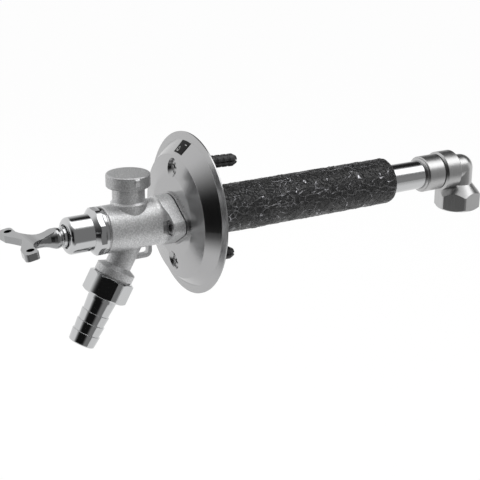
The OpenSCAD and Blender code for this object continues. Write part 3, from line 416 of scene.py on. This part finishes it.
def satin_casting(name, base, roughness):
    """Blasted and chromed casting: coarse and fine grain under a soft shine."""
    finish = Finish(name, base, 0.75, roughness).soft_edges(0.0006)
    grain = finish.noise(scale=1150.0, detail=1.5, rough=0.6)
    fine = finish.noise(scale=2800.0, detail=2.0, rough=0.6)
    finish.colour(finish.ramp(grain, [(0.32, [0.80 * level for level in base]),
                                      (0.50, base),
                                      (0.70, [min(1.35 * level, 1.0) for level in base])]))
    finish.bump(grain, distance=0.00024, strength=0.5)
    finish.bump(fine, distance=0.00006, strength=0.5)
    patches = finish.noise(scale=70.0, detail=2.0)
    finish.rough(patches, roughness - 0.03, roughness + 0.04)
    return finish.done()


def bright_chrome(name, base, roughness, edge=0.0004, bores=None):
    """Polished chrome: a mirror with the faintest wipe marks, and painted shade inside its bores.
    """
    finish = Finish(name, base, 1.0, roughness).soft_edges(edge)
    if bores is not None:
        # Painted shade: inside the bores the colour is near black, for the shade that falls in
        # them
        finish.colour(finish.ramp(finish.in_bores(*bores), [(0.0, base), (1.0, BORE_PAINTED_SHADE)]))
    wiped = finish.noise(scale=160.0, detail=4.0, rough=0.6, stretch=(1, 1, 3))
    finish.rough(wiped, roughness * 0.7, roughness * 1.5)
    finish.bump(finish.noise(scale=90.0, detail=1.0), distance=0.00012, strength=0.25)
    return finish.done()


def turned_metal(name, base, roughness, lines, axis, centre, radial, edge=0.0003, depth=0.000012):
    """Metal with the rings that a lathe or a brush leaves."""
    finish = Finish(name, base, 1.0, roughness).soft_edges(edge)
    rings = finish.spin(lines, axis, centre, radial)
    finish.bump(rings, distance=depth, strength=0.5)
    finish.rough(rings, roughness * 0.75, roughness * 1.3)
    return finish.done()


def moulded(name, base, roughness, grain=1500.0, depth=0.00004, shine=0.5):
    """Moulded plastic or rubber with a slight texture and uneven shine."""
    finish = Finish(name, base, 0.0, roughness).soft_edges(0.0003)
    finish.shader.inputs["Specular IOR Level"].default_value = shine
    finish.bump(finish.noise(scale=grain, detail=2.0), distance=depth, strength=0.4)
    patches = finish.noise(scale=120.0, detail=3.0)
    finish.rough(patches, roughness - 0.05, roughness + 0.08)
    return finish.done()


def film(name, base):
    """Black wrapping film, with a broken net of fine creases that shine, partly by painted
    highlight.

    The nearer of two nets of cracks sets the colour, the shine and the bump. The
    first number of each pair is the distance to the net.
    """
    finish = Finish(name, base, 0.0, 0.6)
    coarse = finish.cracks(scale=230.0, stretch=(1.0, 0.7, 1.0), bend=0.0022, breaks=0.10)
    fine = finish.cracks(scale=380.0, stretch=(1.0, 0.8, 1.0), bend=0.0014, breaks=0.24)
    least = finish.node("ShaderNodeMath", operation="MINIMUM")
    finish.link(coarse, least.inputs[0])
    finish.link(fine, least.inputs[1])
    net = least.outputs[0]
    # Painted highlight: along the crease net the colour is up to 62 times paler than the film,
    # for the glints of the creases; there the film is also metallic and mirrors the room
    finish.colour(finish.ramp(net, [(0.0, [62.0 * level for level in base]),
                                    (0.02, [20.0 * level for level in base]),
                                    (0.045, base)]))
    finish.link(finish.ramp(net, [(0.0, 0.12), (0.05, 0.20), (0.11, 0.38)]),
                finish.shader.inputs["Roughness"])
    finish.link(finish.ramp(net, [(0.02, 1.0), (0.045, 0.0)]),
                finish.shader.inputs["Metallic"])
    finish.bump(finish.ramp(net, [(0.0, 1.0), (0.14, 0.0)]), distance=0.0005)
    return finish.done()


def dress(names, material):
    """Gives CAD nodes a finish, leaving their meshes as they are."""
    for name in names:
        for slot in NODES[name].material_slots:
            slot.material = material


# Settings


class WallTapSettings(bpy.types.PropertyGroup):
    """Sizes and colours of the tap's finish"""
    casting: FloatVectorProperty(
        name="Casting", description="Colour of the satin castings", subtype="COLOR",
        default=(0.57, 0.573, 0.577), min=0.0, max=1.0)
    chrome: FloatVectorProperty(
        name="Chrome", description="Colour of the polished chrome", subtype="COLOR",
        default=(0.54, 0.545, 0.55), min=0.0, max=1.0)
    stainless: FloatVectorProperty(
        name="Stainless", description="Colour of the rose and the screws", subtype="COLOR",
        default=(0.42, 0.42, 0.423), min=0.0, max=1.0)
    fitting: FloatVectorProperty(
        name="Fitting", description="Colour of the fittings at the warm end", subtype="COLOR",
        default=(0.48, 0.48, 0.48), min=0.0, max=1.0)
    brass: FloatVectorProperty(
        name="Brass", description="Colour of the brass inside", subtype="COLOR",
        default=(0.72, 0.52, 0.22), min=0.0, max=1.0)
    wrap: FloatVectorProperty(
        name="Insulation film", description="Colour of the film on the insulation",
        subtype="COLOR", default=(0.010, 0.010, 0.0105), min=0.0, max=1.0)
    crease_depth: FloatProperty(
        name="Crease depth", description="Depth of the creases in the insulation film",
        subtype="DISTANCE", unit="LENGTH", default=0.0003, min=0.0, max=0.002)
    seed: IntProperty(
        name="Crease seed", description="Seed for the creases of the film", default=4)
    casting_roughness: FloatProperty(
        name="Casting roughness", description="Roughness of the satin castings",
        subtype="FACTOR", default=0.42, min=0.0, max=1.0)
    lamp_power: FloatProperty(
        name="Lamp power", description="Power of the main lamp", default=7.0, min=0.0,
        unit="POWER")


def settings():
    """The sizes and colours that the panel shows."""
    return bpy.context.scene.wall_tap


# Pieces


class TAP_OT_castings(bpy.types.Operator):
    """Satin finish of the body and the vent cap"""
    bl_idname = "wall_tap.castings"
    bl_label = "Satin Castings"

    def execute(self, context):
        s = settings()
        satin = satin_casting("satin_casting", tuple(s.casting), s.casting_roughness)
        # Painted shade: the vent cap is a darker copy of the satin casting
        cap = satin_casting("painted_shade_cap_casting", [CAP_PAINTED_SHADE * level for level in s.casting],
                            s.casting_roughness)
        dress(["tap_body"], satin)
        dress(["vent_cap"], cap)
        thread("nose_thread", along_spout, NOSE_THREAD, satin, "fixed", False)
        return {"FINISHED"}


class TAP_OT_bright_fittings(bpy.types.Operator):
    """Polished chrome of the headwork, key, spindle, nut, hose tail and pipe"""
    bl_idname = "wall_tap.bright_fittings"
    bl_label = "Bright Fittings"

    def execute(self, context):
        s = settings()
        chrome = bright_chrome("bright_chrome", tuple(s.chrome), 0.09)
        dress(["headwork", "spindle", "union_nut", "hose_tail"], chrome)
        # Painted shade: the key is a darker copy of the chrome, standing in for darker
        # reflections, with painted shade in its bores
        dress(["key"], bright_chrome("painted_shade_key_chrome", [KEY_PAINTED_SHADE * level for level in s.chrome],
                                     0.12, bores=(KEY_HOLE_AXIS, KEY_HOLES, KEY_HOLE_R)))
        thread("union_thread", along_spout, NUT_THREAD, chrome, "nut", True)
        dress(["pipe"], bright_chrome("drawn_pipe", tuple(s.chrome), 0.12))
        return {"FINISHED"}


class TAP_OT_rose(bpy.types.Operator):
    """Polished steel of the rose, the flange plate and the screws"""
    bl_idname = "wall_tap.rose"
    bl_label = "Wall Rose"

    def execute(self, context):
        s = settings()
        steel = turned_metal("spun_steel", tuple(s.stainless), 0.21, 2600.0,
                             (0.0, 1.0, 0.0), ROSE_CENTRE, True, 0.0003, 0.000003)
        plain = bright_chrome("plain_steel", tuple(s.stainless), 0.26)
        dress(["wall_rose"], steel)
        dress(["flange_plate", "flange_screws", "wall_screws", "headwork_seal"], plain)
        add_label()
        return {"FINISHED"}


def on_bevel(across, down, lift):
    """Takes a place on the label to the rose's bevel, all in millimetres.

    The bevel is a cone about Y. Down is the way along its slope from the
    label's top edge, across is the way round it and lift is the height above it.
    """
    r = BEVEL_R - LABEL_TOP - down * math.cos(BEVEL_TURN)
    y = -RIM_FACE - (BEVEL_R - r) * math.tan(BEVEL_TURN)
    turn = LABEL_TURN - (across + LABEL_LEAN * down) / LABEL_R
    r, y = r + lift * math.sin(BEVEL_TURN), y - lift * math.cos(BEVEL_TURN)
    return MM * np.stack([r * np.cos(turn), np.broadcast_to(y, r.shape),
                          ROSE_RISE + r * np.sin(turn)], axis=-1)


def bevel_patch(name, across, down, foot, top, material):
    """A thin closed plate on the bevel, from two grids of places on the label."""
    sheets = np.stack([on_bevel(across, down, np.full(across.shape, level))
                       for level in (foot, top)])
    rows, columns = across.shape
    low = grid_faces(rows, columns, wrap_columns=False)
    index = np.arange(rows * columns).reshape(rows, columns)
    ring = np.concatenate([index[0], index[1:, -1], index[-1, -2::-1], index[-2:0:-1, 0]])
    next_ring = np.roll(ring, -1)
    size = rows * columns
    sides = np.stack([ring, next_ring, next_ring + size, ring + size], axis=-1)
    faces = np.concatenate([low[:, ::-1], low + size, sides])
    piece = add_mesh(name, sheets, faces, material, "fixed", smooth=False)
    face_outwards(piece)
    return piece


def add_label():
    """A small black plate on the bevel, with a plain drop and a bar on it.

    At angle t the drop's outline lies sin(t) times sin(t / 2) to the power of one
    and a half across and minus cos(t) down, so it comes to a point at its top.
    """
    black = moulded("label_black", (0.008, 0.008, 0.008), 0.5, shine=0.12)
    pale = moulded("label_marks", (0.42, 0.42, 0.42), 0.4)
    across, down = np.meshgrid(np.linspace(-LABEL_HALF, LABEL_HALF, 13),
                               np.linspace(0.0, LABEL_DEEP, 9))
    bevel_patch("label_plate", across, down, -0.05, 0.22, black)
    across, down = np.meshgrid(np.linspace(*BAR_ACROSS, 4), np.linspace(*BAR_DOWN, 2))
    bevel_patch("label_bar", across, down, 0.15, 0.27, pale)
    turn, ring = np.meshgrid(np.linspace(0.02, 2 * math.pi - 0.02, 41), [1.0, DROP_INSIDE],
                             indexing="ij")
    across = DROP_PLACE[0] + DROP_SIZE[0] * ring * np.sin(turn) * np.sin(turn / 2) ** 1.5
    down = DROP_PLACE[1] + DROP_SIZE[1] * ring * -np.cos(turn)
    bevel_patch("label_drop", across, down, 0.15, 0.27, pale)


class TAP_OT_warm_end(bpy.types.Operator):
    """Turned satin fittings at the warm end and the inlet's screw thread"""
    bl_idname = "wall_tap.warm_end"
    bl_label = "Warm End"

    def execute(self, context):
        s = settings()
        turned = turned_metal("turned_fitting", tuple(s.fitting), 0.30, 5200.0, PIPE_AXIS,
                              (0.0, 0.0, 0.0), False)
        dress(["valve_housing", "housing_sleeve", "inlet_elbow"], turned)
        thread("inlet_thread", up_the_inlet, INLET_THREAD, turned, "fixed",
               True)
        return {"FINISHED"}


class TAP_OT_insulation(bpy.types.Operator):
    """Wrinkled black film round the pipe's insulation"""
    bl_idname = "wall_tap.insulation"
    bl_label = "Insulation Film"

    def execute(self, context):
        s = settings()
        material = film("wrapping_film", tuple(s.wrap))
        dress(["insulation_sleeve"], material)
        wrapped_sleeve(material, s.crease_depth, s.seed)
        return {"FINISHED"}


def smooth_noise(rng, u, v, round_cells, long_cells):
    """Random values at the corners of cells, joined by a smooth step.

    Both u and v run from nought to one. The pattern closes round in u.
    """
    corners = rng.random((round_cells, long_cells + 1))
    x, y = (u % 1.0) * round_cells, np.clip(v, 0.0, 0.9999) * long_cells
    i, j = x.astype(int) % round_cells, y.astype(int)
    fx, fy = x - np.floor(x), y - j
    fx, fy = fx * fx * (3 - 2 * fx), fy * fy * (3 - 2 * fy)
    near = corners[i, j] * (1 - fx) + corners[(i + 1) % round_cells, j] * fx
    far = corners[i, j + 1] * (1 - fx) + corners[(i + 1) % round_cells, j + 1] * fx
    return near * (1 - fy) + far * fy


def creases(rng, u, v):
    """Height of a crumpled film, from nought to about one.

    Each crease is a line where a smooth noise, times the number of lines,
    passes halfway between two whole numbers, raised by a narrow bell curve. A
    second noise breaks it off. Coordinates are first bent by a slow noise and
    slanted round the sleeve.
    """
    bend = 0.03 * (smooth_noise(rng, u, v, 7, 11) - 0.5)
    lean = 0.03 * (smooth_noise(rng, u, v, 5, 8) - 0.5)
    height = 0.05 * smooth_noise(rng, u, v, 18, 26)
    for cells, lines, width, share, slant in CREASE_FAMILIES:
        place = lines * smooth_noise(rng, u + bend + slant * v, v + lean, *cells)
        aside = (place - np.floor(place) - 0.5) / width
        broken = np.clip(3.0 * smooth_noise(rng, u, v, 16, 26) - 0.9, 0.0, 1.0)
        height += share * broken * np.exp(-aside ** 2)
    return height


def wrapped_sleeve(material, depth, seed):
    """The insulation's film: a closed tube whose outer face is crumpled.

    The rows run along the outer face, round the rounded end, over the end
    face, back through the bore and over the start face. Row k lies at radius
    r(k) and station y(k), and the outer rows are lifted by the creases.
    """
    rng = np.random.default_rng(seed)
    outer = np.linspace(SLEEVE_START, SLEEVE_END - SLEEVE_ROUND, FILM_ROWS)
    turn = np.linspace(0.0, math.pi / 2, FILM_END_ROWS + 1)[1:]
    stations = np.concatenate([outer, SLEEVE_END - SLEEVE_ROUND * (1 - np.sin(turn)),
                               [SLEEVE_END, SLEEVE_END, SLEEVE_START, SLEEVE_START]])
    reach = np.concatenate([np.full(FILM_ROWS, SLEEVE_R),
                            SLEEVE_R - SLEEVE_ROUND * (1 - np.cos(turn)),
                            [SLEEVE_R - SLEEVE_ROUND - 1.6, BORE_R, BORE_R, SLEEVE_R - 2.0]])
    lift = np.zeros(len(stations))
    lift[:FILM_ROWS] = 1.0
    lift[FILM_ROWS:FILM_ROWS + FILM_END_ROWS] = np.cos(turn) * 0.8 + 0.2
    u, v = np.meshgrid(np.arange(FILM_COLUMNS) / FILM_COLUMNS,
                       (stations - SLEEVE_START) / (SLEEVE_END - SLEEVE_START))
    height = (creases(rng, u, v) - 0.4) * depth / MM * lift[:, None]
    r = reach[:, None] + height
    angle = 2 * math.pi * u
    points = MM * np.stack([r * np.cos(angle), r * np.sin(angle),
                            np.broadcast_to(stations[:, None], r.shape)], axis=-1)
    piece = add_mesh("wrinkled_film", along_pipe(points),
                     grid_faces(len(stations), FILM_COLUMNS, wrap_rows=True), material,
                     "fixed")
    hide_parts("insulation_sleeve")


class TAP_OT_inner_parts(bpy.types.Operator):
    """Rubber, plastic, brass and steel of the small and hidden pieces"""
    bl_idname = "wall_tap.inner_parts"
    bl_label = "Inner Parts"

    def execute(self, context):
        s = settings()
        rubber = moulded("black_rubber", (0.018, 0.018, 0.018), 0.6)
        plug = moulded("plug_plastic", (0.016, 0.016, 0.017), 0.42)
        white = moulded("white_plastic", (0.78, 0.78, 0.75), 0.4)
        blue = moulded("blue_plastic", (0.06, 0.20, 0.42), 0.35)
        brass = turned_metal("turned_brass", tuple(s.brass), 0.22, 4000.0, PIPE_AXIS,
                             (0.0, 0.0, 0.0), False)
        steel = turned_metal("drawn_steel", tuple(s.stainless), 0.25, 3000.0, PIPE_AXIS,
                             (0.0, 0.0, 0.0), False)
        dress(["flange_gasket", "rose_seal", "pipe_seal", "housing_seal",
               "float_seal", "poppet_seal", "spindle_orings", "seat_washer", "hose_washer"],
              rubber)
        dress(["wall_plugs"], plug)
        dress(["vent_cage", "vent_seat", "vent_float", "check_seat", "check_cage",
               "rod_guides"], white)
        dress(["check_poppet"], blue)
        dress(["gland_bush", "valve_seat", "valve_piston"], brass)
        dress(["drive_rod", "rod_pin", "washer_screw", "check_spring"], steel)
        return {"FINISHED"}


class TAP_OT_stage(bpy.types.Operator):
    """Floor, room light, lamps and the camera at the photograph's angle"""
    bl_idname = "wall_tap.stage"
    bl_label = "Stage"

    def execute(self, context):
        add_floor()
        add_room()
        add_cards()
        add_lamps(settings().lamp_power)
        add_camera()
        return {"FINISHED"}


def add_floor():
    """A wide pale floor well below the tap, which keeps the tap's soft shadow."""
    z = CAD_BOX[0][2] - FLOOR_DROP
    corners = [(-FLOOR_HALF, -FLOOR_HALF, z), (FLOOR_HALF, -FLOOR_HALF, z),
               (FLOOR_HALF, FLOOR_HALF, z), (-FLOOR_HALF, FLOOR_HALF, z)]
    material = bpy.data.materials.new("pale_floor")
    material.use_nodes = True
    tree = material.node_tree
    shader = tree.nodes["Principled BSDF"]
    shader.inputs["Base Color"].default_value = (0.82, 0.82, 0.82, 1.0)
    shader.inputs["Roughness"].default_value = 0.9
    shader.inputs["Specular IOR Level"].default_value = 0.0
    glow = tree.nodes.new("ShaderNodeEmission")
    glow.inputs["Strength"].default_value = FLOOR_GLOW
    share = tree.nodes.new("ShaderNodeMath")
    share.operation = "MULTIPLY"
    share.inputs[1].default_value = GLOW_SHARE
    mix = tree.nodes.new("ShaderNodeMixShader")
    tree.links.new(seen_or_mirrored(tree), share.inputs[0])
    tree.links.new(share.outputs[0], mix.inputs["Fac"])
    tree.links.new(shader.outputs["BSDF"], mix.inputs[1])
    tree.links.new(glow.outputs["Emission"], mix.inputs[2])
    tree.links.new(mix.outputs["Shader"], tree.nodes["Material Output"].inputs["Surface"])
    floor = add_mesh("floor", corners, [(0, 1, 2, 3)], material, None, smooth=False)
    floor.visible_glossy = False


def add_room():
    """The room: even light for matt surfaces, and the white ground for all that shines."""
    world = bpy.data.worlds.new("studio_room")
    bpy.context.scene.world = world
    world.use_nodes = True
    tree = world.node_tree
    room = tree.nodes["Background"]
    room.inputs["Color"].default_value = (1.0, 1.0, 1.0, 1.0)
    room.inputs["Strength"].default_value = ROOM_LEVEL
    ground = tree.nodes.new("ShaderNodeBackground")
    ground.inputs["Color"].default_value = (1.0, 1.0, 1.0, 1.0)
    ground.inputs["Strength"].default_value = 1.0
    mix = tree.nodes.new("ShaderNodeMixShader")
    tree.links.new(seen_or_mirrored(tree), mix.inputs["Fac"])
    tree.links.new(room.outputs["Background"], mix.inputs[1])
    tree.links.new(ground.outputs["Background"], mix.inputs[2])
    tree.links.new(mix.outputs["Shader"], tree.nodes["World Output"].inputs["Surface"])


def seen_or_mirrored(tree):
    """One for rays from the camera and for rays off or through something shiny."""
    path = tree.nodes.new("ShaderNodeLightPath")
    total = path.outputs["Is Camera Ray"]
    for kind in ("Is Glossy Ray", "Is Transmission Ray"):
        either = tree.nodes.new("ShaderNodeMath")
        either.operation = "MAXIMUM"
        tree.links.new(total, either.inputs[0])
        tree.links.new(path.outputs[kind], either.inputs[1])
        total = either.outputs[0]
    return total


def add_cards():
    """Curved cards round the tap, which only polished metal shows.

    Each lies on a cylinder about the camera's right-hand direction. The angle
    runs from the camera's side over the top to the far side, and the other
    parameter runs to the right. A card fades out towards its edges.
    """
    right = np.array([math.cos(AZIMUTH), math.sin(AZIMUTH), 0.0])
    away = np.array([-math.sin(AZIMUTH), math.cos(AZIMUTH), 0.0])
    up = np.array([0.0, 0.0, 1.0])
    for name, level, reach, turns, spread, fades in CARDS:
        steps = np.linspace(0, 1, CARD_ROWS)
        u, v = np.meshgrid(steps, steps, indexing="ij")
        angle = np.radians(turns[0] + (turns[1] - turns[0]) * u)
        along = spread[0] + (spread[1] - spread[0]) * v
        points = (reach * (np.sin(angle)[..., None] * up - np.cos(angle)[..., None] * away)
                  + along[..., None] * right)
        edge = np.minimum(np.minimum(u / fades[0], (1 - u) / fades[1]),
                          np.minimum(v / fades[2], (1 - v) / fades[3]))
        edge = np.clip(edge, 0, 1)
        edge = edge * edge * (3 - 2 * edge)
        material = bpy.data.materials.new(name)
        material.use_nodes = True
        tree = material.node_tree
        tree.nodes.remove(tree.nodes["Principled BSDF"])
        glow = tree.nodes.new("ShaderNodeEmission")
        glow.inputs["Strength"].default_value = level
        clear = tree.nodes.new("ShaderNodeBsdfTransparent")
        share = tree.nodes.new("ShaderNodeAttribute")
        share.attribute_name = "edge"
        mix = tree.nodes.new("ShaderNodeMixShader")
        tree.links.new(share.outputs["Fac"], mix.inputs["Fac"])
        tree.links.new(clear.outputs["BSDF"], mix.inputs[1])
        tree.links.new(glow.outputs["Emission"], mix.inputs[2])
        tree.links.new(mix.outputs["Shader"], tree.nodes["Material Output"].inputs["Surface"])
        faces = grid_faces(CARD_ROWS, CARD_ROWS, wrap_columns=False)
        card = add_mesh(name, points, faces, material, None)
        values = card.data.attributes.new("edge", "FLOAT", "POINT")
        values.data.foreach_set("value", edge.ravel())
        card.visible_camera = False
        card.visible_diffuse = False
        card.visible_shadow = False
        card.visible_volume_scatter = False


def add_lamps(power):
    """Three large soft lamps for the matt pieces and for the shadow on the floor."""
    for name, place, size, share in LAMPS:
        light = bpy.data.lights.new(name, "AREA")
        light.shape = "DISK"
        light.size = size
        light.energy = power * share
        lamp = bpy.data.objects.new(name, light)
        lamp.location = place
        aim = Vector(LAMP_AIM) - Vector(place)
        lamp.rotation_euler = aim.to_track_quat("-Z", "Y").to_euler()
        lamp.visible_glossy = False
        bpy.context.scene.collection.objects.link(lamp)


def add_camera():
    """The camera fitted to the photograph, by its azimuth, elevation and distance."""
    ca, sa = math.cos(AZIMUTH), math.sin(AZIMUTH)
    ce, se = math.cos(ELEVATION), math.sin(ELEVATION)
    rows = Matrix(((ca, sa, 0.0), (-sa * se, ca * se, ce), (sa * ce, -ca * ce, se)))
    turn = rows @ Matrix.Rotation(-FALL, 3, "X")
    half = PHOTO / 2
    shift = Vector(((WALL_PIXEL[0] - half) * DISTANCE / FOCAL_PIXELS,
                    -(WALL_PIXEL[1] - half) * DISTANCE / FOCAL_PIXELS, -DISTANCE))
    shift += rows @ Vector((0.0, MM, 0.0))
    data = bpy.data.cameras.new("camera")
    data.sensor_width = 36.0
    data.lens = FOCAL_PIXELS * data.sensor_width / PHOTO
    data.clip_start = 0.01
    data.dof.use_dof = False
    camera = bpy.data.objects.new("camera", data)
    back = turn.transposed()
    camera.matrix_world = Matrix.Translation(-(back @ shift)) @ back.to_4x4()
    bpy.context.scene.collection.objects.link(camera)
    bpy.context.scene.camera = camera


class TAP_PT_panel(bpy.types.Panel):
    """Steps that finish the wall tap"""
    bl_label = "Wall Tap"
    bl_idname = "TAP_PT_panel"
    bl_space_type = "VIEW_3D"
    bl_region_type = "UI"
    bl_category = "Wall Tap"

    def draw(self, context):
        for step in STEPS:
            self.layout.operator(step.bl_idname)
        for name in WallTapSettings.__annotations__:
            self.layout.prop(context.scene.wall_tap, name)


STEPS = (TAP_OT_castings, TAP_OT_bright_fittings, TAP_OT_rose, TAP_OT_warm_end,
         TAP_OT_insulation, TAP_OT_inner_parts, TAP_OT_stage)
CLASSES = (WallTapSettings, *STEPS, TAP_PT_panel)


def register():
    for item in CLASSES:
        bpy.utils.register_class(item)
    bpy.types.Scene.wall_tap = PointerProperty(type=WallTapSettings)


def unregister():
    del bpy.types.Scene.wall_tap
    for item in reversed(CLASSES):
        bpy.utils.unregister_class(item)


def main():
    """Registers the add-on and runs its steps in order."""
    register()
    bpy.context.scene.view_settings.view_transform = "Standard"
    for step in STEPS:
        group, name = step.bl_idname.split(".")
        getattr(getattr(bpy.ops, group), name)()


if __name__ == "__main__":
    main()
